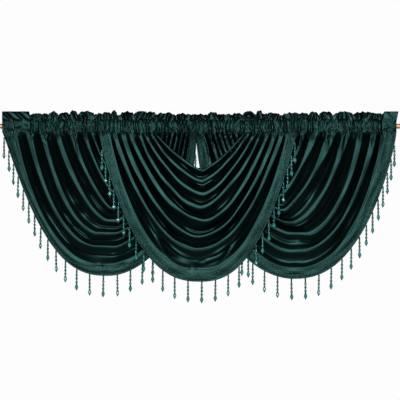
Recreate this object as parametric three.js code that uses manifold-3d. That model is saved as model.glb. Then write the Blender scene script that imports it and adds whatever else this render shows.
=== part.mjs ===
// Three waterfall swag valances of dark green satin, hung side by side on one curtain rod.
// Each is one cloth: two gathered ends turned over into a ruffled heading and a rod pocket,
// nested folds that hang from one pocket to the other, and a flat hem fringed with beads.
// Millimetres, +Z up, +X along the rod, -Y to the front. The origin is the middle of the rod's axis.

import * as THREE from "three";
import { mergeVertices } from "three/addons/utils/BufferGeometryUtils.js";
import Module from "manifold-3d";

const wasm = await Module();
wasm.setup();

const { lerp } = THREE.MathUtils;

// Rod
const ROD_DIAMETER = 25;
const ROD_LENGTH = 2100;
const ROD_SIDES = 32;

// Cloth, heading and pocket
const CLOTH_THICKNESS = 2;
const STITCH_DROP = 30;
const HEADING_STITCH = 22;
const HEADING_HEIGHT = 70;
const HEADING_UNEVENNESS = 5;
const LAYER_SPREAD = 3;
const POCKET_DEPTH = 19;
const POCKET_PUFF = 3;
const BACK_LAYER_END = 25;
const BACK_LAYER_OFFSET = 6;
const RUFFLE_DEPTH = 5;
const RUFFLE_UNEVENNESS = 0.5;
const RUFFLE_PHASE = 1.9;
const HEADING_PHASE = 2.3;
const GATHER_DEPTH = 3;
const TAB_GATHER = 0.25;

// Folds: how far a crest stands out of its grooves at the pocket, and the steps across a fold and
// down its line, which crowd towards its two ends
const CREST_AT_POCKET = 9;
const STEPS_PER_FOLD = 4;
const HEM_ROLL = 7;
const HEM_EDGE = 8;
const HEM_EDGE_CREST = 0.55;
const STEPS_SHOWN = 9;
const STEPS_COVERED = 6;
const STEP_CROWDING = 0.35;
const LEAST_MITRE = 0.6;

// Bead fringe: a tape behind the hem's edge, and strands that hang from it
const TAPE_WIDTH = 9;
const TAPE_THICKNESS = 2;
const TAPE_GAP = 1;
const STRAND_SPACING = 68;
const STRAND_SIDES = 3;
const STRAND_STAND_OFF = 1;

// A strand's outline: distance under the hem's edge, and radius there
const STRAND_PROFILE = [
  { below: -1.5, radius: 1.3 },
  { below: 20, radius: 1.3 },
  { below: 28, radius: 4.2 },
  { below: 37, radius: 1.6 },
  { below: 46, radius: 4.2 },
  { below: 55, radius: 1.6 },
  { below: 64, radius: 4.2 },
  { below: 74, radius: 1.6 },
  { below: 91, radius: 7 },
  { below: 106, radius: 1 },
];

// A swag's folds, from the open lip (0) to the hem's roll (7) and its edge (8). left and right are
// where a crest meets the pockets, low is where it hangs lowest and drop how far that is under the
// rod's axis. The bends round the line there (1 is a sharp V). crest is how far it stands forward.
const LEFT_FOLDS = [
  { fold: 0, left: -509, right: -223, low: -395, drop: 215, bendLeft: 1.2, bendRight: 1.2, crest: 16 },
  { fold: 1, left: -540, right: -199, low: -410, drop: 283, bendLeft: 1.28, bendRight: 1.25, crest: 20 },
  { fold: 2, left: -578, right: -176, low: -420, drop: 348, bendLeft: 1.33, bendRight: 1.3, crest: 22 },
  { fold: 3, left: -643, right: -153, low: -440, drop: 412, bendLeft: 1.42, bendRight: 1.38, crest: 24 },
  { fold: 4, left: -715, right: -130, low: -450, drop: 473, bendLeft: 1.68, bendRight: 1.5, crest: 24 },
  { fold: 5, left: -788, right: -108, low: -467, drop: 540, bendLeft: 2.25, bendRight: 1.65, crest: 25 },
  { fold: 6, left: -856, right: -86, low: -462, drop: 607, bendLeft: 2.55, bendRight: 1.7, crest: 24 },
  { fold: 7, left: -934, right: -60, low: -460, drop: 698, bendLeft: 2.5, bendRight: 1.85, crest: 20 },
  { fold: 8, left: -984, right: -19, low: -460, drop: 744, bendLeft: 2.35, bendRight: 1.9, crest: 20 },
];
const CENTRE_FOLDS = [
  { fold: 0, left: -228, right: 228, low: 15, drop: 222, bendLeft: 1.2, bendRight: 1.2, crest: 22 },
  { fold: 1, left: -246, right: 247, low: 12, drop: 275, bendLeft: 1.38, bendRight: 1.38, crest: 26 },
  { fold: 2, left: -276, right: 276, low: 17, drop: 338, bendLeft: 1.5, bendRight: 1.5, crest: 28 },
  { fold: 3, left: -306, right: 308, low: -2, drop: 404, bendLeft: 1.65, bendRight: 1.65, crest: 28 },
  { fold: 4, left: -340, right: 340, low: 17, drop: 473, bendLeft: 1.8, bendRight: 1.8, crest: 29 },
  { fold: 5, left: -372, right: 378, low: 0, drop: 549, bendLeft: 1.92, bendRight: 1.92, crest: 30 },
  { fold: 6, left: -408, right: 412, low: -17, drop: 616, bendLeft: 2.1, bendRight: 2.1, crest: 28 },
  { fold: 7, left: -461, right: 446, low: -6, drop: 722, bendLeft: 2.3, bendRight: 2.3, crest: 24 },
  { fold: 8, left: -504, right: 483, low: 0, drop: 773, bendLeft: 2.45, bendRight: 2.45, crest: 24 },
];
const RIGHT_FOLDS = [
  { fold: 0, left: 223, right: 488, low: 370, drop: 215, bendLeft: 1.2, bendRight: 1.2, crest: 16 },
  { fold: 1, left: 200, right: 518, low: 384, drop: 283, bendLeft: 1.25, bendRight: 1.26, crest: 20 },
  { fold: 2, left: 177, right: 570, low: 400, drop: 350, bendLeft: 1.3, bendRight: 1.3, crest: 22 },
  { fold: 3, left: 154, right: 655, low: 416, drop: 418, bendLeft: 1.38, bendRight: 1.4, crest: 24 },
  { fold: 4, left: 131, right: 731, low: 447, drop: 484, bendLeft: 1.5, bendRight: 1.77, crest: 24 },
  { fold: 5, left: 108, right: 803, low: 490, drop: 540, bendLeft: 1.65, bendRight: 2.3, crest: 22 },
  { fold: 6, left: 85, right: 869, low: 478, drop: 631, bendLeft: 1.75, bendRight: 2.2, crest: 25 },
  { fold: 7, left: 40, right: 926, low: 468, drop: 716, bendLeft: 1.85, bendRight: 2.35, crest: 20 },
  { fold: 8, left: -14, right: 979, low: 466, drop: 760, bendLeft: 1.9, bendRight: 2.4, crest: 20 },
];

// stitchDepth is where the grooves lie at the pocket, and lead how far they then come forward
// within about leadFall of it. fallLeft and fallRight make the fold lines start more upright.
// The tabs are the ungathered ends of the outer headings, in folds from the hem's edge. The bead
// tape starts tapeStart under the stitch, and its strands strandsFrom and strandsUntil inside its ends.
const SWAGS = [
  {
    name: "left",
    folds: LEFT_FOLDS,
    stitchDepth: 2,
    lead: 0,
    leadFall: 40,
    fallLeft: 1.1,
    fallRight: 1.7,
    stepsLeft: STEPS_SHOWN,
    stepsRight: STEPS_COVERED,
    tabLeft: 1.9,
    tabRight: 0,
    tapeStart: 22,
    strandsFrom: 12,
    strandsUntil: 50,
  },
  {
    name: "centre",
    folds: CENTRE_FOLDS,
    stitchDepth: -7,
    lead: 33,
    leadFall: 40,
    fallLeft: 1.15,
    fallRight: 1.05,
    stepsLeft: STEPS_SHOWN,
    stepsRight: STEPS_SHOWN,
    tabLeft: 0,
    tabRight: 0,
    tapeStart: 40,
    strandsFrom: 5,
    strandsUntil: 5,
  },
  {
    name: "right",
    folds: RIGHT_FOLDS,
    stitchDepth: 2,
    lead: 0,
    leadFall: 40,
    fallLeft: 1.9,
    fallRight: 1.25,
    stepsLeft: STEPS_COVERED,
    stepsRight: STEPS_SHOWN,
    tabLeft: 0,
    tabRight: 1.2,
    tapeStart: 22,
    strandsFrom: 120,
    strandsUntil: 12,
  },
];

// Finishes
const COPPER_BROWN = { color: 0xa9764f, roughness: 0.4, metalness: 0.6 };
const GREEN_SATIN = { color: 0x12332f, roughness: 0.45, metalness: 0 };
const TEAL_BEADS = { color: 0x3f8f8a, roughness: 0.15, metalness: 0 };

// A table's value between two rows, at a fractional fold number
function atFold(folds, column, fold) {
  const row = Math.min(Math.floor(fold), folds.length - 2);
  return lerp(folds[row][column], folds[row + 1][column], fold - row);
}

// Half of a fold's line, from its low point up to a pocket: a quarter of a superellipse
class FoldLine extends THREE.Curve {
  constructor(low, end, bend, fall) {
    super();
    this.low = low;
    this.end = end;
    this.bend = bend;
    this.fall = fall;
  }

  getPoint(share, target = new THREE.Vector3()) {
    const angle = (share * Math.PI) / 2;
    const across = Math.sin(angle) ** (2 / this.bend);
    const down = Math.abs(Math.cos(angle)) ** (2 / this.fall);
    return target.set(
      lerp(this.low.x, this.end.x, across),
      0,
      lerp(this.end.z, this.low.z, down),
    );
  }
}

// 1 on a crest and 0 in the sharp groove beside it; the hem lies flat from its roll to its edge
function foldWave(fold) {
  if (fold > HEM_ROLL) {
    return lerp(1, HEM_EDGE_CREST, fold - HEM_ROLL);
  }
  return Math.abs(Math.cos(Math.PI * fold));
}

// Depth of the hanging cloth: the swag's own plane of grooves, less what the fold stands forward
function skirtDepth(swag, fold, share, z) {
  const fallen = -STITCH_DROP - z;
  const plane = swag.stitchDepth - swag.lead * (1 - Math.exp(-fallen / swag.leadFall));
  const crest = lerp(atFold(swag.folds, "crest", fold), CREST_AT_POCKET, share * share);
  return plane - crest * foldWave(fold);
}

// The hanging half of one fold, from its low point to the stitch line of the pocket on that side
function hangingLine(swag, fold, side, steps) {
  const low = new THREE.Vector3(
    atFold(swag.folds, "low", fold),
    0,
    -atFold(swag.folds, "drop", fold),
  );
  const end = new THREE.Vector3(atFold(swag.folds, side, fold), 0, -STITCH_DROP);
  const [bendColumn, fall] =
    side === "left" ? ["bendLeft", swag.fallLeft] : ["bendRight", swag.fallRight];
  const line = new FoldLine(low, end, atFold(swag.folds, bendColumn, fold), fall);
  return Array.from({ length: steps + 1 }, (_, step) => {
    const turn = (2 * Math.PI * step) / steps;
    const share = (turn - STEP_CROWDING * Math.sin(turn)) / (2 * Math.PI);
    const point = line.getPointAt(share);
    point.y = skirtDepth(swag, fold, share, point.z);
    return point;
  });
}

// The pocket and heading over one fold: up the front of the rod, over the ruffle's top, down behind
function pocketLine(swag, fold, side, column) {
  const x = atFold(swag.folds, side, fold);
  const tab = side === "left" ? swag.tabLeft : swag.tabRight;
  const gathered = HEM_EDGE - fold < tab ? TAB_GATHER : 1;
  const zigzag = (column % 2 ? 1 : -1) * gathered;
  const uneven = 1 + RUFFLE_UNEVENNESS * Math.sin(RUFFLE_PHASE * column);
  const ruffle = zigzag * RUFFLE_DEPTH * uneven;
  const gather = zigzag * GATHER_DEPTH;
  const puff = POCKET_DEPTH + (POCKET_PUFF * (1 + zigzag)) / 2;
  const rise = gathered * HEADING_UNEVENNESS * Math.sin(HEADING_PHASE * column + x);
  const top = HEADING_HEIGHT + rise;
  return [
    new THREE.Vector3(x, -puff, 0),
    new THREE.Vector3(x, -LAYER_SPREAD + gather, HEADING_STITCH),
    new THREE.Vector3(x, -LAYER_SPREAD + ruffle, top),
    new THREE.Vector3(x, LAYER_SPREAD + ruffle, top),
    new THREE.Vector3(x, LAYER_SPREAD + gather, HEADING_STITCH),
    new THREE.Vector3(x, puff, 0),
    new THREE.Vector3(x, swag.stitchDepth + BACK_LAYER_OFFSET, -BACK_LAYER_END),
  ];
}

// Fold numbers of the cloth's columns, from the lip to the hem's edge
function foldColumns() {
  const folds = [];
  for (let step = 0; step <= HEM_ROLL * STEPS_PER_FOLD; step += 1) {
    folds.push(step / STEPS_PER_FOLD);
  }
  return [...folds, (HEM_ROLL + HEM_EDGE) / 2, HEM_EDGE];
}

// The whole cloth as columns of points: one column for each fold number, from the back layer of the
// left pocket, over the heading, down and up along the fold, to the back layer of the right pocket
function clothColumns(swag) {
  return foldColumns().map((fold, column) => {
    const left = hangingLine(swag, fold, "left", swag.stepsLeft);
    const right = hangingLine(swag, fold, "right", swag.stepsRight);
    return [
      ...pocketLine(swag, fold, "left", column).reverse(),
      ...left.reverse(),
      ...right.slice(1),
      ...pocketLine(swag, fold, "right", column),
    ];
  });
}

function geometryOf(points, triangles) {
  const geometry = new THREE.BufferGeometry();
  const flat = points.flatMap((point) => [point.x, point.y, point.z]);
  geometry.setAttribute("position", new THREE.Float32BufferAttribute(flat, 3));
  geometry.setIndex(triangles);
  return geometry;
}

// Unit normals of the faces around each point of a grid, and the step that gives each face its
// full share of the thickness where the cloth bends
function gridOffsets(columns) {
  const width = columns.length;
  const height = columns[0].length;
  const faces = columns.map((line) => line.map(() => []));
  for (let i = 0; i < width - 1; i += 1) {
    for (let j = 0; j < height - 1; j += 1) {
      const across = columns[i + 1][j + 1].clone().sub(columns[i][j]);
      const along = columns[i][j + 1].clone().sub(columns[i + 1][j]);
      const normal = across.cross(along).normalize();
      [faces[i][j], faces[i + 1][j], faces[i][j + 1], faces[i + 1][j + 1]].forEach((list) => {
        list.push(normal);
      });
    }
  }
  return faces.map((line) =>
    line.map((normals) => {
      const mean = normals
        .reduce((sum, normal) => sum.add(normal), new THREE.Vector3())
        .normalize();
      const share = normals.reduce((sum, normal) => sum + normal.dot(mean), 0) / normals.length;
      return mean.multiplyScalar(1 / Math.max(share, LEAST_MITRE));
    }),
  );
}

// A closed sheet of even thickness about a grid of points
function sheet(columns, thickness) {
  const width = columns.length;
  const height = columns[0].length;
  const offsets = gridOffsets(columns);
  const side = (half) =>
    columns.flatMap((line, i) =>
      line.map((point, j) => point.clone().addScaledVector(offsets[i][j], half)),
    );
  const points = [...side(thickness / 2), ...side(-thickness / 2)];
  const back = width * height;
  const at = (i, j) => i * height + j;
  const triangles = [];
  const quad = (a, b, c, d) => triangles.push(a, b, c, a, c, d);
  for (let i = 0; i < width - 1; i += 1) {
    for (let j = 0; j < height - 1; j += 1) {
      quad(at(i, j), at(i + 1, j), at(i + 1, j + 1), at(i, j + 1));
      quad(back + at(i, j), back + at(i, j + 1), back + at(i + 1, j + 1), back + at(i + 1, j));
    }
  }
  for (let i = 0; i < width - 1; i += 1) {
    const end = height - 1;
    quad(at(i + 1, 0), at(i, 0), back + at(i, 0), back + at(i + 1, 0));
    quad(at(i, end), at(i + 1, end), back + at(i + 1, end), back + at(i, end));
  }
  for (let j = 0; j < height - 1; j += 1) {
    const end = width - 1;
    quad(at(0, j), at(0, j + 1), back + at(0, j + 1), back + at(0, j));
    quad(at(end, j + 1), at(end, j), back + at(end, j), back + at(end, j + 1));
  }
  return geometryOf(points, triangles);
}

// A closed solid through rings of points, each ring in the same order, capped at both ends
function ringSolid(rings) {
  const sides = rings[0].length;
  const points = rings.flat();
  const triangles = [];
  for (let ring = 0; ring < rings.length - 1; ring += 1) {
    for (let k = 0; k < sides; k += 1) {
      const a = ring * sides + k;
      const b = ring * sides + ((k + 1) % sides);
      triangles.push(a, b, b + sides, a, b + sides, a + sides);
    }
  }
  const last = (rings.length - 1) * sides;
  for (let k = 1; k < sides - 1; k += 1) {
    triangles.push(0, k + 1, k);
    triangles.push(last, last + k, last + k + 1);
  }
  return geometryOf(points, triangles);
}

function toManifold(geometry) {
  const merged = mergeVertices(geometry);
  return new wasm.Manifold(
    new wasm.Mesh({
      numProp: 3,
      vertProperties: new Float32Array(merged.attributes.position.array),
      triVerts: new Uint32Array(merged.index.array),
    }),
  );
}

function fromManifold(solid) {
  const mesh = solid.getMesh();
  const geometry = new THREE.BufferGeometry();
  geometry.setAttribute("position", new THREE.BufferAttribute(mesh.vertProperties, 3));
  geometry.setIndex(new THREE.BufferAttribute(mesh.triVerts, 1));
  return geometry;
}

// The tape's section at one place on the hem: a flat rectangle just behind the hem's edge, and the
// point under it that a strand would hang from. inner is a point of the hem, along its direction.
function tapeSection(edge, inner, along) {
  const front = CLOTH_THICKNESS / 2 + TAPE_GAP;
  const inward = inner.clone().sub(edge).normalize();
  const back = along.clone().cross(inward).normalize();
  back.multiplyScalar(Math.sign(back.y));
  const place = (across, behind) =>
    edge.clone().addScaledVector(inward, across).addScaledVector(back, behind);
  return {
    corners: [
      place(0, front),
      place(0, front + TAPE_THICKNESS),
      place(TAPE_WIDTH, front + TAPE_THICKNESS),
      place(TAPE_WIDTH, front),
    ],
    root: place(-STRAND_STAND_OFF, front + TAPE_THICKNESS / 2),
  };
}

// Sections from one pocket's stitch row to the other's, the first and last a little under them
function tapeSections(columns, firstRow, lastRow, tapeStart) {
  const edge = columns[columns.length - 1];
  const inner = columns[columns.length - 2];
  const end = (row, next) => {
    const along = edge[Math.max(row, next)].clone().sub(edge[Math.min(row, next)]);
    const share = tapeStart / along.length();
    return tapeSection(
      edge[row].clone().lerp(edge[next], share),
      inner[row].clone().lerp(inner[next], share),
      along,
    );
  };
  const sections = [end(firstRow, firstRow + 1)];
  for (let row = firstRow + 1; row < lastRow; row += 1) {
    const along = edge[row + 1].clone().sub(edge[row - 1]);
    sections.push(tapeSection(edge[row], inner[row], along));
  }
  return [...sections, end(lastRow, lastRow - 1)];
}

// Points at even spacing along the tape's edge, where the strands are sewn on
function strandRoots(sections, from, until) {
  const path = new THREE.CurvePath();
  for (let k = 0; k < sections.length - 1; k += 1) {
    path.add(new THREE.LineCurve3(sections[k].root, sections[k + 1].root));
  }
  const length = path.getLength();
  const gaps = Math.round((length - from - until) / STRAND_SPACING);
  return Array.from({ length: gaps + 1 }, (_, k) =>
    path.getPointAt(lerp(from, length - until, k / gaps) / length),
  );
}

// One strand of beads, hanging straight down from its root, with a corner turned towards the hem
function strand(root, low) {
  const turn = root.x < low ? 0 : Math.PI;
  const rings = STRAND_PROFILE.map(({ below, radius }) =>
    Array.from({ length: STRAND_SIDES }, (_, k) => {
      const angle = turn - (2 * Math.PI * k) / STRAND_SIDES;
      return new THREE.Vector3(
        root.x + radius * Math.cos(angle),
        root.y + radius * Math.sin(angle),
        root.z - below,
      );
    }),
  );
  return ringSolid(rings);
}

function beadFringe(swag, columns) {
  const pocketRows = pocketLine(swag, 0, "left", 0).length;
  const firstRow = pocketRows;
  const lastRow = pocketRows + swag.stepsLeft + swag.stepsRight;
  const sections = tapeSections(columns, firstRow, lastRow, swag.tapeStart);
  const tape = toManifold(ringSolid(sections.map((section) => section.corners)));
  const low = atFold(swag.folds, "low", HEM_EDGE);
  const strands = strandRoots(sections, swag.strandsFrom, swag.strandsUntil).map((root) =>
    toManifold(strand(root, low)),
  );
  return fromManifold(strands.reduce((solid, next) => solid.add(next), tape));
}

function rod() {
  const radius = ROD_DIAMETER / 2;
  const geometry = new THREE.CylinderGeometry(radius, radius, ROD_LENGTH, ROD_SIDES);
  return geometry.rotateZ(Math.PI / 2);
}

function mesh(name, geometry, finish) {
  const part = new THREE.Mesh(geometry, new THREE.MeshStandardMaterial(finish));
  part.name = name;
  return part;
}

const valances = new THREE.Group();
valances.add(mesh("rod", rod(), COPPER_BROWN));
SWAGS.forEach((swag) => {
  const columns = clothColumns(swag);
  valances.add(mesh(`swag_${swag.name}`, sheet(columns, CLOTH_THICKNESS), GREEN_SATIN));
  valances.add(mesh(`bead_fringe_${swag.name}`, beadFringe(swag, columns), TEAL_BEADS));
});

export default valances;
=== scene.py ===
import bpy
import numpy as np
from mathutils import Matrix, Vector


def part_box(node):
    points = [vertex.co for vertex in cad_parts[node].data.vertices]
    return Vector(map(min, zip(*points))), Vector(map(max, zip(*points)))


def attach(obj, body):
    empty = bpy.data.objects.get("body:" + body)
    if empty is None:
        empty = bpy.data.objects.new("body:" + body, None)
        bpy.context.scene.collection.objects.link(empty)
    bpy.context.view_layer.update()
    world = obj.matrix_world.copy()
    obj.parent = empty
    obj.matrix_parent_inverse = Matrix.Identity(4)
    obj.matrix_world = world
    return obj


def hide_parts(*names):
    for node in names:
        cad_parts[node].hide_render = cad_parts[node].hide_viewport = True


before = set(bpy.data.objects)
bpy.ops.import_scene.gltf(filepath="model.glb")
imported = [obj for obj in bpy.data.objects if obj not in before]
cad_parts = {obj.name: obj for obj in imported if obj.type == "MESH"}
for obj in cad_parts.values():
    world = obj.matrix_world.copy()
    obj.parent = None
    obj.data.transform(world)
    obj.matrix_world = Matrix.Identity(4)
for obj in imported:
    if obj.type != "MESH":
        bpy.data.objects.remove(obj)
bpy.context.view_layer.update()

bl_info = {
    "name": "Beaded Swag Valances",
    "version": (1, 0, 0),
    "blender": (4, 5, 0),
    "location": "3D View > Sidebar > Valances",
    "description": "Dresses three satin swag valances, their bead fringes and the rod that they hang on",
    "category": "Object",
}

# All sizes are in metres. +X runs along the rod, -Y is the front, +Z is up, and the rod's axis is z = 0.

ROD_BOX = [Vector(corner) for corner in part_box("rod")]
ROD_RADIUS = (ROD_BOX[1].z - ROD_BOX[0].z) / 2
ROD_EASE = 0.0012
ROD_SIDES = 64
ROD_RINGS = 40
ROD_RING_MARGIN = 0.05

# Heights of the sewn lines and edges about the rod's axis
STITCH_DROP = 0.030
HEADING_STITCH = 0.022
HEADING_NOTCH = 0.056
TAB_TOP = 0.0735
BACK_LAYER_END = 0.027

# Flat distances over the cloth: from the pocket's stitch up to the heading's and to its top, from the
# hem's edge in to its stitch, and over one fold and the hem
STITCH_LENGTHS = {"heading": 0.070, "hem": 0.0125, "heading_top": 0.118}
CLOTH_OVER_FOLD = 0.083
CLOTH_OVER_HEM = 0.048

# Gathers: the more fullness, the broader the puffs. Numbers in turns say how far they stray from even
# ones, and a finer set lies over them.
GATHER_FULLNESS = 2.6
GATHER_STRAY = 0.40
GATHER_LEAN = 0.5
GATHER_LEAN_HEIGHT = 0.05
GATHER_WANDER = 0.30
GATHER_FADE_POWER = 1.5
FINE_GATHERS = 2.3
FINE_STRAY = 0.8
FINE_LEAN = 1.5
FINE_SHARE = 0.1

# Pocket: its front leans from the stitch to the heading's front, bulges, and has lower puffs half way
# up. Its back stands off the rod.
HEADING_FRONT = 0.0145
POCKET_PUFF = 0.0015
POCKET_SEAM = 0.0010
SEAM_REACH = 0.08
POCKET_FLATTENING = 0.3
TAB_DIMPLE_DEPTH = 0.0014
TAB_DIMPLE_PITCH = 0.035
BACK_PUFF = 0.0345
BACK_ROUNDNESS = 0.5
BACK_GATHERS = 0.9
BACK_SHIFT = 0.4
BACK_STITCH_GAP = 0.0016

# Heading: two layers that close at the top edge, with frills that rise out of the pocket's puffs and
# fan out, and slanting folds on the flat tabs
LAYER_SPREAD = 0.0014
LAYER_GAP = 0.0007
LAYER_CLOSING = 8
HEADING_LEAN = 0.004
HEADING_SLANT = 0.008
HEADING_SEED = 9
FRILL_FULLNESS = 4.5
FRILL_PITCH = 0.0255
FRILL_DEPTH = 0.0120
FRILL_STRAY = 0.3
FRILL_FAN = 0.040
FRILL_RISE = 3.5
TAB_FOLD_PITCH = 0.062
TAB_FOLD_SLANT = 0.055
TAB_SWAY = 0.3
TAB_STEP = 0.12
RUFFLE_RAGGED = 0.0022
RUFFLE_RAGGED_PITCH = 0.019
RUFFLE_SEED = 31
RUFFLE_SIDES = (1.0, -0.8)

# Where folds meet the pocket: its ends spread out, and folds crowd along it towards the hem's end
END_SPREAD = 0.0027
END_REACH = 0.4
CROWD_START = 0.8
CROWD_FADE = 0.4
CROWD_REACH = 0.10
COLLAR_FALL = 0.017

# A swag's folds, from the open lip (row 0) to the hem's roll (row 7) and its edge (row 8). left and
# right are where a crest meets the pockets, low is where it hangs lowest and drop how far that is
# under the rod's axis. The bends round the line there (1 is a sharp V). crest is how far it stands
# forward, flat how high its bottom is cut off level, and side_line where a faint line runs between it
# and the next crest, as a share of the way.
FOLD_COLUMNS = ("left", "right", "low", "drop", "bend_left", "bend_right", "crest", "flat", "side_line")
HEM_ROLL = 7
HEM_EDGE = 8
LEFT_FOLDS = (
    (-0.509, -0.223, -0.395, 0.215, 1.20, 1.20, 0.016, 0.000, 0.50),
    (-0.540, -0.199, -0.410, 0.283, 1.28, 1.25, 0.020, 0.000, 0.50),
    (-0.578, -0.176, -0.420, 0.348, 1.33, 1.30, 0.022, 0.000, 0.50),
    (-0.643, -0.153, -0.440, 0.412, 1.42, 1.38, 0.024, 0.004, 0.50),
    (-0.715, -0.130, -0.450, 0.473, 1.68, 1.50, 0.024, 0.006, 0.55),
    (-0.788, -0.108, -0.467, 0.540, 2.25, 1.65, 0.025, 0.010, 0.49),
    (-0.856, -0.086, -0.462, 0.607, 2.55, 1.70, 0.024, 0.005, 0.47),
    (-0.934, -0.060, -0.460, 0.698, 2.50, 1.85, 0.020, 0.003, 0.50),
    (-0.988, -0.0195, -0.460, 0.750, 2.60, 1.90, 0.020, 0.000, 0.50),
)
CENTRE_FOLDS = (
    (-0.228, 0.228, 0.015, 0.222, 1.20, 1.20, 0.022, 0.000, 0.55),
    (-0.246, 0.247, 0.012, 0.275, 1.52, 1.38, 0.026, 0.000, 0.44),
    (-0.276, 0.276, 0.017, 0.340, 1.62, 1.50, 0.028, 0.000, 0.52),
    (-0.306, 0.308, -0.002, 0.407, 1.65, 1.65, 0.028, 0.000, 0.56),
    (-0.348, 0.340, 0.017, 0.475, 1.80, 1.80, 0.029, 0.000, 0.58),
    (-0.386, 0.378, 0.000, 0.552, 1.92, 1.92, 0.030, 0.000, 0.50),
    (-0.430, 0.412, -0.017, 0.619, 1.85, 2.10, 0.028, 0.000, 0.42),
    (-0.461, 0.446, -0.006, 0.722, 2.30, 2.30, 0.024, 0.003, 0.50),
    (-0.504, 0.483, 0.000, 0.778, 2.45, 2.45, 0.024, 0.000, 0.50),
)
RIGHT_FOLDS = (
    (0.223, 0.488, 0.370, 0.215, 1.20, 1.20, 0.016, 0.000, 0.50),
    (0.200, 0.518, 0.384, 0.283, 1.25, 1.26, 0.020, 0.000, 0.50),
    (0.177, 0.570, 0.400, 0.350, 1.30, 1.30, 0.022, 0.000, 0.50),
    (0.154, 0.655, 0.416, 0.418, 1.38, 1.40, 0.024, 0.003, 0.50),
    (0.131, 0.731, 0.447, 0.484, 1.50, 1.77, 0.024, 0.004, 0.32),
    (0.108, 0.803, 0.490, 0.540, 1.65, 2.30, 0.022, 0.010, 0.50),
    (0.085, 0.869, 0.478, 0.631, 1.75, 2.20, 0.025, 0.002, 0.50),
    (0.040, 0.926, 0.468, 0.716, 1.85, 2.35, 0.020, 0.003, 0.50),
    (-0.0165, 0.981, 0.466, 0.765, 1.90, 2.40, 0.020, 0.000, 0.50),
)

# The heading's ruffles along the rod: centre, half width and how high each top stands over the axis
RUFFLE_COLUMNS = ("centre", "half_width", "top")
RUFFLES = (
    (-0.815, 0.028, 0.064), (-0.775, 0.015, 0.064), (-0.733, 0.023, 0.073), (-0.678, 0.025, 0.069),
    (-0.633, 0.020, 0.078), (-0.570, 0.040, 0.075), (-0.505, 0.023, 0.063), (-0.468, 0.025, 0.070),
    (-0.430, 0.015, 0.078), (-0.365, 0.033, 0.073), (-0.293, 0.038, 0.075), (-0.245, 0.023, 0.073),
    (-0.190, 0.030, 0.065), (-0.155, 0.015, 0.070), (-0.135, 0.010, 0.058), (-0.090, 0.025, 0.064),
    (-0.050, 0.030, 0.059), (0.000, 0.025, 0.060), (0.063, 0.025, 0.070), (0.095, 0.013, 0.061),
    (0.128, 0.020, 0.060), (0.152, 0.008, 0.061), (0.187, 0.023, 0.065), (0.245, 0.030, 0.075),
    (0.297, 0.015, 0.080), (0.325, 0.015, 0.064), (0.354, 0.015, 0.069), (0.380, 0.018, 0.065),
    (0.463, 0.045, 0.067), (0.520, 0.020, 0.067), (0.567, 0.023, 0.072), (0.630, 0.035, 0.073),
    (0.720, 0.045, 0.073), (0.825, 0.060, 0.071), (0.893, 0.022, 0.064),
)

# How each swag hangs, with a value for the left, the centre and the right one. The cloth lies
# stitch_depth behind the rod's axis at the pocket. Its grooves draw back by collar just under the stitch
# and come forward by lead within about lead_left and lead_right. Its crests grow within about growth and
# are crest_half wide to each side at their low points. The side lines between them are side_lines high
# and fade at side_lines_until of the way up. The gathers run gather_left and gather_right times as far
# down as usual. The hem's edge stands forward by hem_left and hem_right of a crest at the pocket. The
# falls are the powers that make fold lines start more upright, and the edges those of the hem's edge.
# The tabs are the flat ends of the outer headings, in folds from the hem's edge, lean outwards by
# tab_lean and have folds of depth tab_folds. The crowds draw the folds along the pocket. The bead tape
# starts tape_start under the stitch, and its strands strands_from and strands_until inside its two ends,
# counted from strand_anchor of the way between them, strand_step times as far apart as usual.
HANGING = {
    "name": ("left", "centre", "right"),
    "folds": (LEFT_FOLDS, CENTRE_FOLDS, RIGHT_FOLDS),
    "seed": (11, 23, 37),
    "stitch_depth": (0.002, -0.0115, 0.000),
    "collar": (0.0145, 0.005, 0.0145),
    "growth": (0.03, 0.15, 0.03),
    "crest_half": (0.054, 0.082, 0.060),
    "side_lines": (0.0086, 0.0118, 0.0080),
    "side_lines_until": (0.90, 0.42, 0.75),
    "lead": (-0.010, 0.022, -0.006),
    "lead_left": (0.12, 0.28, 0.05),
    "lead_right": (0.05, 0.28, 0.12),
    "gather_left": (2.4, 1.0, 4.7),
    "gather_right": (4.7, 1.0, 2.4),
    "hem_left": (0.84, 0.96, 0.84),
    "hem_right": (0.84, 0.88, 1.04),
    "fall_left": (1.15, 1.15, 1.90),
    "fall_right": (2.00, 1.05, 1.25),
    "edge_left": (0.90, 1.15, 1.90),
    "edge_right": (2.00, 1.05, 1.25),
    "tab_left": (2.0, 0.0, 0.0),
    "tab_right": (0.0, 0.0, 1.2),
    "tab_lean": (0.0, 0.0, 0.010),
    "tab_folds": (0.0095, 0.0, 0.0035),
    "crowd_left": (0.0, 0.0, 0.050),
    "crowd_right": (0.026, 0.0, 0.0),
    "tape_start": (0.022, 0.040, 0.022),
    "strands_from": (0.008, 0.005, 0.120),
    "strands_until": (0.045, 0.005, 0.048),
    "strand_anchor": (0.0, 0.510, 1.0),
    "strand_step": (1.001, 0.99, 1.01),
}
SWAGS = [dict(zip(HANGING, values)) for values in zip(*HANGING.values())]

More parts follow.
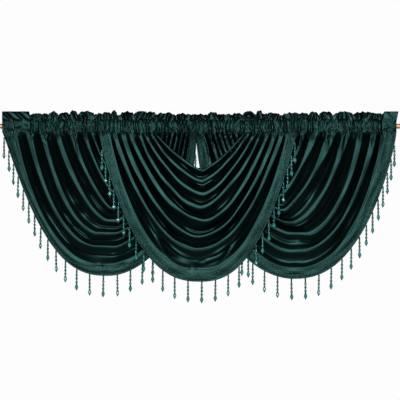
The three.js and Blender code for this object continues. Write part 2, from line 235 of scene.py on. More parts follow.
# Creases given one by one: the swag, where the middle of each is (x and z), its turn in degrees from the
# rod's direction, its half length, its half width, and how deep it is (less than 0 stands forward)
CREASES = (
    ("left", -0.502, -0.697, 80, 0.012, 0.005, 0.006),
    ("left", -0.393, -0.700, 60, 0.012, 0.005, 0.005),
    ("left", -0.437, -0.641, 10, 0.012, 0.006, -0.004),
    ("left", -0.430, -0.641, 75, 0.010, 0.004, -0.003),
    ("centre", -0.040, -0.716, 85, 0.014, 0.006, 0.007),
    ("centre", -0.245, -0.497, -62, 0.120, 0.008, -0.008),
    ("centre", 0.160, -0.590, 59, 0.075, 0.007, -0.007),
    ("centre", -0.090, -0.664, -19, 0.055, 0.014, -0.006),
    ("centre", 0.015, -0.676, 35, 0.016, 0.004, -0.004),
    ("centre", 0.018, -0.672, 100, 0.014, 0.004, -0.003),
    ("centre", 0.005, -0.678, -30, 0.014, 0.004, -0.003),
    ("centre", 0.060, -0.683, 20, 0.035, 0.006, -0.003),
    ("right", 0.500, -0.568, 25, 0.018, 0.008, -0.005),
    ("right", 0.495, -0.578, 0, 0.014, 0.004, -0.003),
    ("right", 0.482, -0.672, 80, 0.010, 0.005, 0.004),
    ("right", 0.580, -0.432, 60, 0.016, 0.005, -0.002),
    ("right", 0.575, -0.425, 110, 0.014, 0.004, -0.0015),
)

# Grid of a swag's cloth: columns across the folds, rows along them
LIP_COLUMNS = 6
FOLD_STEPS = 25
HEM_STEPS = 17
SKIRT_ROWS = 74
ROW_CROWDING = 1.25
POCKET_ROWS = 12
HEADING_ROWS = 12
ARC_SAMPLES = 500

# A fold's section, in shares of the way from one crest to the next: how much wider the crest gets from
# its low point to the pocket and how its width changes, where the groove lies, and how soft the crest's
# two shoulders are. The steps make each fold uneven in its own way. The lip is the innermost crest,
# turned back behind its edge, and the hem has rows of stitches.
CREST_HALF_GROWTH = 0.145
CREST_CHANGE = 0.3
CREST_STEP = 3.7
GROOVE_COLUMN = 12
GROOVE_PLACE = GROOVE_COLUMN / FOLD_STEPS
LOWER_SHOULDER = 0.08
UPPER_SHOULDER = 0.20
FLAT_CORNER = 0.0012
LIP_FOLD = 0.07
LIP_HALF = 0.20
LIP_NARROW_REACH = 0.20
LIP_BACK = 0.4
LIP_BEND = 0.6
SIDE_LINE_WIDTH = 0.090
SIDE_LINE_STRAY = 0.05
SIDE_LINE_STEPS = {"place": 4.1, "strength": 2.9}
SIDE_LINES_END = HEM_ROLL - 0.2
HEM_FLAT = 0.24
HEM_BEND = 1.15
HEM_EDGE_CREST_LOW = 0.95
HEM_STITCHES = (0.50, 0.66, 0.84)
HEM_STITCH_WIDTH = 0.05
HEM_STITCH_DEPTH = 0.0007

# Unevenness: numbers of waves, how their lengths or speeds spread, and about the highest that they add
# up to. On the cloth a fold counts as FOLD_WIDTH wide, and its line strays from WANDER_START down.
UNEVEN_WAVES = 5
UNEVEN_LENGTHS = (0.6, 1.9)
UNEVEN_PEAK = 2.4
CRUMPLE_WAVES = 9
CRUMPLE_SPEEDS = (0.6, 1.6)
CRUMPLE_PEAK = 3.2
FOLD_WIDTH = 0.065
WANDER_START = 0.1

# The tape's section, in shares of its width and thickness, and its steps along the hem
TAPE_SECTION = np.array([
    (0.00, 0.2), (0.00, 0.8), (0.04, 1.0), (0.96, 1.0), (1.00, 0.8), (1.00, 0.2), (0.96, 0.0), (0.04, 0.0),
])
TAPE_STEP = 0.006
HEM_INNER_COLUMN = -4

# A strand under the hem's edge: a thread with small seed beads, three oval beads, a cap and a drop
STRAND_SIDES = 8
STRAND_SEAT = 0.0010
STRAND_ROOT = 0.0015
# Range of how strongly the painted glints show on each strand
STRAND_GLINT_STRENGTHS = (0.3, 1.0)
THREAD_RADIUS = 0.0034
SEED_RADIUS = 0.0045
SEED_HEIGHT = 0.0046
BEAD_RADIUS = 0.0062
BEAD_HALF_HEIGHT = 0.0072
BEAD_ROUNDNESS = 0.85
BEAD_PLACES = (0.028, 0.046, 0.064)
BEAD_RINGS = 5
CAP_TOP = 0.0715
DROP_TOP = 0.0785
DROP_WIDEST = 0.0895
DROP_TIP = 0.0965
DROP_END = 0.1030
DROP_RADIUS = 0.0090
STRAND_END = 0.107

# Rings of the cap and the drop: distance under the hem's edge, radius, and 1 where flat facets end there
DROP_RINGS = (
    (CAP_TOP, THREAD_RADIUS, 0),
    (CAP_TOP + 0.002, 0.0040, 0),
    (DROP_TOP, 0.0060, 0),
    (DROP_TOP + 0.0004, 0.0054, 1),
    (DROP_WIDEST - 0.003, DROP_RADIUS * 0.92, 1),
    (DROP_WIDEST + 0.001, DROP_RADIUS, 1),
    (DROP_WIDEST + 0.005, DROP_RADIUS * 0.80, 1),
    (DROP_END, 0.0030, 1),
    (STRAND_END, 0.0008, 0),
)

# Finishes: half width of a row of stitches, and turns of its dashes and of the tape's ribs, in radians
# per metre
STITCH_HALF = 0.0007
DASH_TURNS = 1400.0
RIB_TURNS_ALONG = 3500.0
RIB_TURNS_ACROSS = 5200.0
# Pale colour of the beads' painted glints: a painted highlight
PAINTED_GLINT_COLOUR = (0.55, 0.85, 0.82)
ROD_DEEPER = 0.72

# Stage: what the camera looks at, from how far and how much of it, and the lights
STAGE_MIDDLE = Vector((0.0, 0.0, -0.37))
VIEW_WIDTH = 2.0
CAMERA_DISTANCE = 12.0
CAMERA_SENSOR = 36.0
OBJECT_FRONT = 0.03
KEY_LIGHT_PLACE = (-0.1, -12.8, 2.17)
KEY_LIGHT_SIZE = 4.4
BACK_LIGHT_PLACE = (0.8, 5.5, 1.2)
BACK_LIGHT_SIZE = 2.5
SKY_STRENGTH = 0.007
FLOOR_RADIUS = 4.2
FLOOR_SIDES = 96
FLOOR_GREY = (0.6, 0.6, 0.6, 1)
FLOOR_GLOW = (0.80, 0.80, 0.79, 1)

# Settings that all the colours share
COLOUR = {"subtype": "COLOR", "size": 3, "min": 0, "max": 1}


class ClothSizes(bpy.types.PropertyGroup):
    """Sizes of the satin that a maker would change."""

    thickness: bpy.props.FloatProperty(
        name="Thickness", description="Thickness of the satin", default=0.0008, unit="LENGTH",
    )
    gather_pitch: bpy.props.FloatProperty(
        name="Gather pitch", description="Mean width of a gather in the pocket", default=0.0190,
        unit="LENGTH",
    )
    gather_depth: bpy.props.FloatProperty(
        name="Gather depth", description="How far a gather puffs out", default=0.0072, unit="LENGTH",
    )
    gather_fade: bpy.props.FloatProperty(
        name="Gather fade", description="How far the gathers run down from the pocket", default=0.020,
        unit="LENGTH",
    )
    ruffle_depth: bpy.props.FloatProperty(
        name="Ruffle depth", description="How far the heading's ruffles sway", default=0.0060,
        unit="LENGTH",
    )
    tab_gather: bpy.props.FloatProperty(
        name="Tab gather", description="Share of the gathers left on the flat end tabs", default=0.25,
        subtype="FACTOR", min=0, max=1,
    )
    wrinkle_depth: bpy.props.FloatProperty(
        name="Wrinkle depth", description="Depth of the soft dents all over the cloth", default=0.0008,
        unit="LENGTH",
    )
    fold_wander: bpy.props.FloatProperty(
        name="Fold wander", description="How far a fold's line strays from a smooth curve", default=0.0025,
        unit="LENGTH",
    )


class FringeSizes(bpy.types.PropertyGroup):
    """Sizes of the bead fringes."""

    tape_width: bpy.props.FloatProperty(
        name="Tape width", description="Width of the woven tape behind the hem", default=0.009,
        unit="LENGTH",
    )
    tape_thickness: bpy.props.FloatProperty(
        name="Tape thickness", description="Thickness of the woven tape", default=0.0014, unit="LENGTH",
    )
    tape_gap: bpy.props.FloatProperty(
        name="Tape gap", description="Distance from the cloth's middle to the tape", default=0.0018,
        unit="LENGTH",
    )
    strand_spacing: bpy.props.FloatProperty(
        name="Strand spacing", description="Distance between strands along the hem", default=0.0695,
        unit="LENGTH",
    )
    strand_sway: bpy.props.FloatProperty(
        name="Strand sway", description="Largest lean of a strand", default=0.02, subtype="ANGLE",
    )


class ValanceColours(bpy.types.PropertyGroup):
    """Colours of the cloth, beads and rod."""

    satin: bpy.props.FloatVectorProperty(
        name="Satin", description="Colour of the satin in its folds",
        default=(0.0002, 0.0005, 0.0006), **COLOUR,
    )
    satin_worn: bpy.props.FloatVectorProperty(
        name="Satin, lighter", description="Colour where the satin is lighter",
        default=(0.0004, 0.0012, 0.0012), **COLOUR,
    )
    satin_gloss: bpy.props.FloatVectorProperty(
        name="Satin gloss", description="Tint of the satin's gloss", default=(0.33, 1.0, 0.94), **COLOUR,
    )
    thread: bpy.props.FloatVectorProperty(
        name="Thread", description="Colour of the strands' thread and caps",
        default=(0.002, 0.045, 0.044), **COLOUR,
    )
    bead: bpy.props.FloatVectorProperty(
        name="Bead", description="Colour of the small beads", default=(0.006, 0.120, 0.116), **COLOUR,
    )
    drop: bpy.props.FloatVectorProperty(
        name="Drop", description="Colour of the faceted drops", default=(0.018, 0.230, 0.222), **COLOUR,
    )
    copper: bpy.props.FloatVectorProperty(
        name="Copper", description="Colour of the rod", default=(0.50, 0.27, 0.14), **COLOUR,
    )


class StudioSettings(bpy.types.PropertyGroup):
    """Light and backdrop of the stage."""

    key_power: bpy.props.FloatProperty(
        name="Key light", description="Power of the light beside the camera", default=1960.0, unit="POWER",
    )
    back_power: bpy.props.FloatProperty(
        name="Back light", description="Power of the light behind the rod", default=220.0, unit="POWER",
    )
    backdrop: bpy.props.FloatProperty(
        name="Backdrop", description="Brightness of the pale backdrop", default=0.98, min=0, max=1,
    )
    floor_height: bpy.props.FloatProperty(
        name="Floor height", description="Height of the floor under the rod", default=-2.2, unit="LENGTH",
    )


class Value:
    """A socket of a node tree. Arithmetic on it adds Math nodes."""

    def __init__(self, tree, socket):
        self.tree = tree
        self.socket = socket

    def math(self, operation, *others):
        return self.tree.node(
            "ShaderNodeMath", {"operation": operation}, dict(enumerate((self, *others)))
        )

    def __add__(self, other):
        return self.math("ADD", other)

    __radd__ = __add__

    def __mul__(self, other):
        return self.math("MULTIPLY", other)

    __rmul__ = __mul__

    def __sub__(self, other):
        return self.math("SUBTRACT", other)

    def __rsub__(self, other):
        return self.tree.node("ShaderNodeMath", {"operation": "SUBTRACT"}, {0: other, 1: self})

    def __abs__(self):
        return self.math("ABSOLUTE")

    def below(self, limit):
        return self.math("LESS_THAN", limit)

    def sine(self):
        return self.math("SINE")

    def ramp(self, low, high):
        """0 at low, 1 at high, with a smooth step between."""
        return self.tree.node(
            "ShaderNodeMapRange",
            {"interpolation_type": "SMOOTHSTEP"},
            {"Value": self, "From Min": low, "From Max": high, "To Min": 0.0, "To Max": 1.0},
        )


class Finish:
    """A material or world whose nodes are made by one method."""

    def __init__(self, owner):
        self.owner = owner
        owner.use_nodes = True
        self.tree = owner.node_tree
        self.tree.nodes.clear()

    @classmethod
    def material(cls, name):
        return cls(bpy.data.materials.new(name))

    def node(self, kind, settings=None, inputs=None, output=0):
        """A new node of this kind: its settings first, then the values or links of its sockets."""
        made = self.tree.nodes.new(kind)
        for name, setting in (settings or {}).items():
            if name == "stops":
                self.set_stops(made.color_ramp, setting)
            else:
                setattr(made, name, setting)
        for name, value in (inputs or {}).items():
            if isinstance(value, Value):
                self.tree.links.new(value.socket, made.inputs[name])
            else:
                made.inputs[name].default_value = value
        return Value(self, made.outputs[output]) if made.outputs else made

    @staticmethod
    def set_stops(ramp, stops):
        """Stops of a colour ramp, as places and colours."""
        ramp.interpolation = "CONSTANT"
        while len(ramp.elements) < len(stops):
            ramp.elements.new(1.0)
        for element, (place, colour) in zip(ramp.elements, stops):
            element.position = place
            element.color = (*colour, 1.0)

    def mix(self, factor, first, second):
        """A colour between two colours."""
        as_colour = [c if isinstance(c, Value) else (*c, 1.0) for c in (first, second)]
        return self.node(
            "ShaderNodeMix", {"data_type": "RGBA"}, {0: factor, 6: as_colour[0], 7: as_colour[1]}, output=2
        )

    def uv(self, name):
        """One of the piece's own UV maps, and its two coordinates."""
        both = self.node("ShaderNodeUVMap", {"uv_map": name})
        u, v = (self.node("ShaderNodeSeparateXYZ", {}, {0: both}, output) for output in (0, 1))
        return both, u, v

    def noise(self, vector, stretch, scale, detail):
        """Noise on a vector that is first stretched along its three axes."""
        placed = self.node("ShaderNodeMapping", {}, {"Vector": vector, "Scale": stretch})
        return self.node("ShaderNodeTexNoise", {}, {"Vector": placed, "Scale": scale, "Detail": detail})

    def bump(self, height, distance, strength, normal=None):
        """A bump on top of another."""
        inputs = {"Height": height, "Distance": distance, "Strength": strength}
        if normal is not None:
            inputs["Normal"] = normal
        return self.node("ShaderNodeBump", {}, inputs)

    def surface(self, inputs):
        """The material's one shader, with its constant values on its own sockets."""
        shader = self.node("ShaderNodeBsdfPrincipled", {}, inputs)
        self.node("ShaderNodeOutputMaterial", {}, {"Surface": shader})
        return self.owner


def satin_finish(colours):
    """Dark satin: deep green, a tinted gloss, crinkles along the pocket, creases along the folds, puckers
    on the hem, a fine weave and rows of stitches."""
    finish = Finish.material("dark green satin")
    place = finish.node("ShaderNodeTexCoord", output="Object")
    weave, across, along = finish.uv("weave")
    _, from_edge, over_stitch = finish.uv("seams")

    clouds = finish.noise(place, stretch=(1, 1, 1), scale=7.0, detail=3.0)
    colour = finish.mix(clouds.ramp(0.35, 0.7), tuple(colours.satin), tuple(colours.satin_worn))

    near_pocket = over_stitch.ramp(-0.05, -0.005)
    off_heading = abs(over_stitch - STITCH_LENGTHS["heading_top"]).ramp(0.040, 0.050)
    on_hem = 1.0 - from_edge.ramp(0.040, 0.050)
    crinkle = finish.noise(place, stretch=(1.0, 0.4, 0.30), scale=125.0, detail=2.0)
    creases = finish.noise(weave, stretch=(1.0, 0.11, 1.0), scale=62.0, detail=3.0)
    threads = finish.noise(weave, stretch=(1.0, 0.2, 1.0), scale=700.0, detail=1.0)
    puckers = finish.noise(weave, stretch=(0.6, 1.0, 1.0), scale=150.0, detail=2.0)
    heading_row = abs(over_stitch - STITCH_LENGTHS["heading"]).below(STITCH_HALF)
    stitch_rows = abs(over_stitch).below(STITCH_HALF) + heading_row
    stitch_dashes = (across * DASH_TURNS).sine().ramp(-0.2, 0.2)
    hem_row = abs(from_edge - STITCH_LENGTHS["hem"]).below(STITCH_HALF)
    hem_dashes = (along * DASH_TURNS).sine().ramp(-0.2, 0.2)
    stitches = stitch_rows * stitch_dashes + hem_row * hem_dashes

    crinkled = crinkle * near_pocket * (0.1 + 0.9 * off_heading)
    relief = finish.bump(creases, distance=0.0020, strength=0.22)
    relief = finish.bump(crinkled, distance=0.0042, strength=0.90, normal=relief)
    relief = finish.bump(puckers * on_hem, distance=0.0022, strength=0.7, normal=relief)
    relief = finish.bump(threads, distance=0.0002, strength=0.35, normal=relief)
    relief = finish.bump(stitches, distance=0.0006, strength=0.6, normal=relief)
    return finish.surface({
        "Base Color": colour,
        "Roughness": 0.36 + clouds * 0.08,
        "Normal": relief,
        "IOR": 1.5,
        "Specular IOR Level": 0.21,
        "Specular Tint": (*colours.satin_gloss, 1.0),
    })


def tape_finish(colours):
    """Woven tape: dark thread with a plain weave."""
    finish = Finish.material("woven tape")
    _, across, along = finish.uv("weave")
    ribs = (along * RIB_TURNS_ALONG).sine() * (across * RIB_TURNS_ACROSS).sine()
    colour = finish.mix(ribs.ramp(-0.6, 0.8), tuple(colours.satin), tuple(colours.thread))
    relief = finish.bump(ribs, distance=0.0003, strength=0.7)
    return finish.surface({"Base Color": colour, "Roughness": 0.7 + ribs * 0.05, "Normal": relief})


def bead_finish(colours):
    """Glassy beads: thread, oval beads, caps and bright faceted drops, told apart by how far down the
    strand they are, with pale patches of painted glint (a painted highlight), stronger on some strands than
    on others, so each strand is a little lighter or darker."""
    finish = Finish.material("teal beads")
    place = finish.node("ShaderNodeTexCoord", output="Object")
    _, glint_strength, below = finish.uv("strand")
    thread, bead, drop = tuple(colours.thread), tuple(colours.bead), tuple(colours.drop)
    stops = [(0.0, thread)]
    for centre in BEAD_PLACES:
        stops.append(((centre - BEAD_HALF_HEIGHT) / STRAND_END, bead))
        stops.append(((centre + BEAD_HALF_HEIGHT) / STRAND_END, thread))
    stops += [(DROP_TOP / STRAND_END, drop), (DROP_TIP / STRAND_END, thread)]
    pieces = finish.node("ShaderNodeValToRGB", {"stops": stops}, {"Fac": below * (1 / STRAND_END)})
    glints = finish.noise(place, stretch=(1, 1, 1), scale=260.0, detail=2.0)
    # Painted glints: pale patches of painted highlight mixed into the colour, stronger on some strands; the
    # same noise also varies the roughness
    lighter = (glints.ramp(0.5, 0.75) * 0.4) * glint_strength
    return finish.surface({
        "Base Color": finish.mix(lighter, pieces, PAINTED_GLINT_COLOUR),
        "Roughness": 0.10 + glints * 0.12,
        "IOR": 1.5,
        "Specular IOR Level": 0.5,
        "Transmission Weight": 0.25,
    })


def rod_finish(colours):
    """Copper-brown satin paint, drawn out along the rod."""
    finish = Finish.material("copper-brown rod")
    place = finish.node("ShaderNodeTexCoord", output="Object")
    drawn = finish.noise(place, stretch=(0.02, 1, 1), scale=900.0, detail=3.0)
    patches = finish.noise(place, stretch=(0.3, 1, 1), scale=14.0, detail=2.0)
    copper = tuple(colours.copper)
    deeper = tuple(ROD_DEEPER * part for part in copper)
    return finish.surface({
        "Base Color": finish.mix(patches.ramp(0.3, 0.7), deeper, copper),
        "Metallic": 0.35,
        "Roughness": 0.30 + drawn * 0.16,
        "Normal": finish.bump(drawn, distance=0.0002, strength=0.4),
    })


def fold_column(swag, name, fold):
    """One column of a swag's fold table at fractional fold numbers: a Catmull-Rom curve through the
    rows, carried on straight past the first."""
    rows = np.array(swag["folds"])[:, FOLD_COLUMNS.index(name)]
    slope = np.gradient(rows)
    row = np.clip(np.floor(fold).astype(int), 0, len(rows) - 2)
    t = np.maximum(fold - row, 0)
    value = (
        rows[row] * (1 + 2 * t) * (1 - t) ** 2
        + slope[row] * t * (1 - t) ** 2
        + rows[row + 1] * t**2 * (3 - 2 * t)
        + slope[row + 1] * t**2 * (t - 1)
    )
    return value + np.minimum(fold, 0) * slope[0]


def pocket_place(swag, side, fold):
    """Where each fold meets the pocket: the fold table's place, with a bell at each of the pocket's two
    ends that pushes it out against its neighbours."""
    outwards = -1 if side == "left" else 1
    at_edge = np.exp(-(((HEM_EDGE - fold) / END_REACH) ** 2))
    at_lip = np.exp(-((np.maximum(fold, 0) / END_REACH) ** 2))
    return fold_column(swag, side, np.maximum(fold, 0)) + outwards * END_SPREAD * (at_edge - at_lip)


def crowding(swag, side, fold):
    """How far each fold is drawn along the pocket towards the hem's end of it: nothing at the hem, where
    it sets in as an exponential, and a power of the fold number towards the lip."""
    outwards = -1 if side == "left" else 1
    from_hem = 1 - np.exp(-(HEM_EDGE - fold) / CROWD_START)
    to_lip = (np.maximum(fold, 0) / HEM_EDGE) ** CROWD_FADE
    return outwards * swag["crowd_" + side] * from_hem * to_lip


def uneven(place, pitch, seed):
    """Smooth unevenness along a line, about -1 to 1: sine waves of lengths around the pitch, added up."""
    rng = np.random.default_rng(seed)
    lengths = pitch * rng.uniform(*UNEVEN_LENGTHS, UNEVEN_WAVES)
    turns = rng.uniform(0, 2 * np.pi, UNEVEN_WAVES)
    waves = np.sin(2 * np.pi * place[..., None] / lengths + turns)
    return waves.sum(-1) / UNEVEN_PEAK


def crumple(across, along, pitch_across, pitch_along, seed):
    """Smooth unevenness over a surface, about -1 to 1: plane waves in mixed directions, added up."""
    rng = np.random.default_rng(seed)
    turns = rng.uniform(0, 2 * np.pi, CRUMPLE_WAVES)
    ways = rng.uniform(0, 2 * np.pi, CRUMPLE_WAVES)
    speeds = rng.uniform(*CRUMPLE_SPEEDS, CRUMPLE_WAVES)
    total = np.zeros(np.broadcast(across, along).shape)
    for turn, way, speed in zip(turns, ways, speeds):
        run = across * np.cos(way) / pitch_across + along * np.sin(way) / pitch_along
        total += np.sin(2 * np.pi * speed * run + turn)
    return total / CRUMPLE_PEAK


def varying(unevenness, mean, change, least=0, most=1):
    """A mean that changes with an unevenness, kept between two limits."""
    return np.clip(mean + change * unevenness, least, most)


def smooth(t):
    """A smooth step from 0 to 1."""
    return t * t * (3 - 2 * t)


def soft_ramp(t, softness):
    """0 at t = 0 and 1 at t = 1: a hyperbola's branch, straight but for a bend of this softness at 0."""
    return (np.sqrt(t * t + softness * softness) - softness) / (np.sqrt(1 + softness * softness) - softness)


def fold_numbers():
    """Fold numbers of a cloth's columns, from the lip's turned edge to the hem's edge, in even steps."""
    lip = np.linspace(-LIP_FOLD, 0, LIP_COLUMNS, endpoint=False)
    folds = np.linspace(0, HEM_ROLL, HEM_ROLL * FOLD_STEPS, endpoint=False)
    hem = np.linspace(HEM_ROLL, HEM_EDGE, HEM_STEPS + 1)
    return np.concatenate([lip, folds, hem])


def cloth_across(fold):
    """Distance over the flat cloth from the hem's edge to each column, in proportion to the folds."""
    over_hem = (HEM_EDGE - fold) * CLOTH_OVER_HEM
    over_folds = CLOTH_OVER_HEM + (HEM_ROLL - fold) * CLOTH_OVER_FOLD
    return np.where(fold > HEM_ROLL, over_hem, over_folds)


def fold_wave(swag, side, fold, share):
    """Section of the folds, 1 on a crest and 0 in a groove. A crest has a flat top of uneven width, a
    sharp lower shoulder and a soft upper one, and straight flanks meet in the groove. The hem is flat to
    its middle and then leans back to its edge, and the lip turns back as a cosine."""
    crest = np.clip(np.floor(fold), 0, HEM_ROLL)
    s = fold - crest
    width = 1 + CREST_CHANGE * uneven(crest * CREST_STEP + share, pitch=0.9, seed=swag["seed"])
    half = (swag["crest_half"] + CREST_HALF_GROWTH * share**2) * width
    opened = 1 - np.exp(-((share / LIP_NARROW_REACH) ** 2))
    half = np.where(fold < 0.5, np.maximum(half, LIP_HALF * opened), half)
    lower = np.clip((s - half) / (GROOVE_PLACE - half), 0, 1)
    upper = np.clip((1 - half - s) / (1 - half - GROOVE_PLACE), 0, 1)
    fallen = np.where(s < GROOVE_PLACE, soft_ramp(lower, LOWER_SHOULDER), soft_ramp(upper, UPPER_SHOULDER))
    edge = HEM_EDGE_CREST_LOW + (swag["hem_" + side] - HEM_EDGE_CREST_LOW) * share
    hem = 1 - (1 - edge) * np.clip((s - HEM_FLAT) / (1 - HEM_FLAT), 0, 1) ** HEM_BEND
    turned = np.cos(np.clip(-fold / LIP_FOLD, 0, 1) * np.pi / 2) ** LIP_BEND
    lip = turned * (1 - LIP_BACK) + LIP_BACK
    wave = np.where(fold >= HEM_ROLL, hem, 1 - fallen)
    return np.where(fold < 0, lip, wave)


def cloth_side(swag, x):
    """Which half of a swag these places are on, seen from the lip's low point."""
    return "left" if np.mean(x) < fold_column(swag, "low", np.array([0.0]))[0] else "right"


def side_lines(swag, fold, share, x, z):
    """Height of the faint lines between the crests: a bell across each fold, whose place strays and whose
    strength comes and goes along the fold and fades towards the pocket."""
    seed = swag["seed"]
    row = np.floor(fold)
    place = fold_column(swag, "side_line", row)
    strays = uneven(row * SIDE_LINE_STEPS["place"] + share, pitch=0.8, seed=seed + 2)
    place = place + SIDE_LINE_STRAY * strays
    comes = uneven(row * SIDE_LINE_STEPS["strength"] + share, pitch=0.5, seed=seed + 3)
    strength = varying(comes, mean=0.80, change=0.4)
    strength = strength * np.exp(-((share / swag["side_lines_until"]) ** 2))
    line = np.exp(-(((fold - row - place) / SIDE_LINE_WIDTH) ** 2)) * strength
    patches = crumple(x, z, pitch_across=0.25, pitch_along=0.12, seed=seed + 18)
    line = line * varying(patches, mean=0.85, change=0.5)
    return np.where((fold > 0) & (fold < SIDE_LINES_END), swag["side_lines"] * line, 0)


def placed_creases(swag, x, z):
    """Depth of the listed creases: a bell along each crease's turn times one across it."""
    depth = np.zeros_like(x)
    for name, at_x, at_z, turn, reach, width, deep in CREASES:
        if name == swag["name"]:
            way = np.radians(turn)
            along = ((x - at_x) * np.cos(way) + (z - at_z) * np.sin(way)) / reach
            aside = ((z - at_z) * np.cos(way) - (x - at_x) * np.sin(way)) / width
            depth += deep * np.exp(-along * along - aside * aside)
    return depth


def skirt_depth(swag, sizes, fold, share, x, z, below):
    """Depth of the hanging cloth: the swag's plane of grooves, less its folds, its side lines and gathers
    that fade below the pocket, and with the hem's stitches, soft dents and placed creases added."""
    seed = swag["seed"]
    side = cloth_side(swag, x)
    fallen = -STITCH_DROP - z
    plane = swag["stitch_depth"] - swag["lead"] * (1 - np.exp(-fallen / swag["lead_" + side]))
    collar = swag["collar"] * np.exp(-below / COLLAR_FALL)
    grown = (fold_column(swag, "crest", fold) - swag["collar"]) * (1 - np.exp(-below / swag["growth"]))
    crest = swag["collar"] - collar + grown
    depth = plane - collar - crest * fold_wave(swag, side, fold, share)
    depth -= side_lines(swag, fold, share, x, z)

    for stitch in HEM_STITCHES:
        depth += HEM_STITCH_DEPTH * np.exp(-(((fold - HEM_ROLL - stitch) / HEM_STITCH_WIDTH) ** 2))
    ragged = varying(uneven(x, pitch=0.09, seed=seed + 16), mean=1, change=0.9, least=0.4, most=2.2)
    reach = sizes.gather_fade * swag["gather_" + side] * ragged
    fade = np.exp(-((below / reach) ** GATHER_FADE_POWER))
    depth -= gathers(swag, sizes, fold, x, -below) * fade
    dents = crumple(fold * FOLD_WIDTH, below, pitch_across=0.06, pitch_along=0.16, seed=seed + 4)
    return depth + sizes.wrinkle_depth * dents * (1 - fade) + placed_creases(swag, x, z)


def tab_share(swag, sizes, fold, side):
    """Share of gathers at each fold number: full but for a smooth step down to the flat tab."""
    flat = swag["tab_" + side]
    if flat == 0:
        return np.ones_like(fold)
    step = np.clip((HEM_EDGE - fold - flat) / TAB_STEP, 0, 1)
    return sizes.tab_gather + (1 - sizes.tab_gather) * smooth(step)


def gather_wave(turn, fullness=GATHER_FULLNESS):
    """Section of gathers, 1 on a top and 0 in a valley: 1 less a power of the distance from the top, so
    the fuller, the broader the tops."""
    return 1 - np.abs(1 - 2 * (turn - np.floor(turn))) ** fullness


def gathers(swag, sizes, fold, x, height):
    """Gathers about the pocket: broad puffs with narrow valleys, of uneven width, that lean and wander
    with the height over the stitch, with finer ones laid over them."""
    seed = swag["seed"]
    lean = GATHER_LEAN * uneven(x, pitch=0.12, seed=seed + 5) * height / GATHER_LEAN_HEIGHT
    wander = GATHER_WANDER * crumple(x, height, pitch_across=0.16, pitch_along=0.07, seed=seed + 14)
    count = x / sizes.gather_pitch
    turn = count + GATHER_STRAY * uneven(x, pitch=0.10, seed=seed + 6) + lean + wander
    fine = FINE_GATHERS * count + FINE_STRAY * uneven(x, pitch=0.05, seed=seed + 13) - FINE_LEAN * lean
    puff = (1 - FINE_SHARE) * gather_wave(turn) + FINE_SHARE * gather_wave(fine)
    size = varying(uneven(x, pitch=0.045, seed=seed + 7), mean=0.75, change=0.45, least=0.2, most=1.3)
    return sizes.gather_depth * size * puff * tab_share(swag, sizes, fold, cloth_side(swag, x))


def fold_lines(swag, side, fold, share):
    """Half of each fold's line in the plane of the rod, by columns and rows: a quarter of a superellipse
    from its low point to the stitch, with its bottom cut off level where it is flat, and with the
    crowding added, which dies away as it falls. Gives x and z at these shares of its length, and the
    lengths."""
    angle = np.linspace(0, np.pi / 2, ARC_SAMPLES)
    bend = fold_column(swag, "bend_" + side, fold)[:, None]
    low = fold_column(swag, "low", fold)[:, None]
    drop = fold_column(swag, "drop", fold)[:, None]
    end = pocket_place(swag, side, fold)[:, None]
    flat = fold_column(swag, "flat", fold)[:, None]
    at_edge = np.clip(fold - HEM_ROLL, 0, 1)[:, None]
    fall = swag["fall_" + side] * (1 - at_edge) + swag["edge_" + side] * at_edge
    x = low + (end - low) * np.sin(angle) ** (2 / bend)
    deepest = drop + flat
    rise = (deepest - STITCH_DROP) * (1 - np.cos(angle) ** (2 / fall)) - flat
    z = -drop + np.where(flat > 0, (rise + np.hypot(rise, FLAT_CORNER)) / 2, rise)
    x = x + crowding(swag, side, fold)[:, None] * np.exp((STITCH_DROP + z) / CROWD_REACH)
    steps = np.hypot(np.diff(x), np.diff(z))
    run = np.concatenate([np.zeros((len(fold), 1)), np.cumsum(steps, 1)], 1)
    length = run[:, -1:]
    column = 2.0 * np.arange(len(fold))[:, None]
    wanted = (share + column).ravel()
    known = (run / length + column).ravel()
    shape = (len(fold), len(share))
    return (
        np.interp(wanted, known, x.ravel()).reshape(shape),
        np.interp(wanted, known, z.ravel()).reshape(shape),
        length,
    )


def skirt(swag, sizes, side, fold, share):
    """The hanging half of the cloth on one side: the fold lines, which stray up and down with a crumple,
    at their depths. Gives its points and its distance below the stitch."""
    x, z, length = fold_lines(swag, side, fold, share)
    below = (1 - share) * length
    column = np.broadcast_to(fold[:, None], x.shape)
    row = np.broadcast_to(share, x.shape)
    stray = crumple(column * FOLD_WIDTH, x, pitch_across=0.11, pitch_along=0.16, seed=swag["seed"] + 8)
    settled = 1 - np.exp(-below / WANDER_START)
    z = z + sizes.fold_wander * stray * settled * (column < HEM_ROLL)
    y = skirt_depth(swag, sizes, column, row, x, z, below)
    return np.stack([x, y, z], -1), below


def ruffle_shape(x):
    """The heading's top edge and its sway at places along the rod: each ruffle is half an ellipse over
    the notches, and neighbours sway to opposite sides."""
    table = np.array(RUFFLES)
    centre, half, top = (table[:, k] for k in range(len(RUFFLE_COLUMNS)))
    reach = np.clip(1 - ((x[..., None] - centre) / half) ** 2, 0, 1) ** 0.5
    ragged = RUFFLE_RAGGED * uneven(x, RUFFLE_RAGGED_PITCH, RUFFLE_SEED)
    height = HEADING_NOTCH + ((top - HEADING_NOTCH) * reach).max(-1) + ragged
    sides = np.where(np.arange(len(table)) % 2 == 0, *RUFFLE_SIDES)
    return height, (sides * reach).sum(-1)


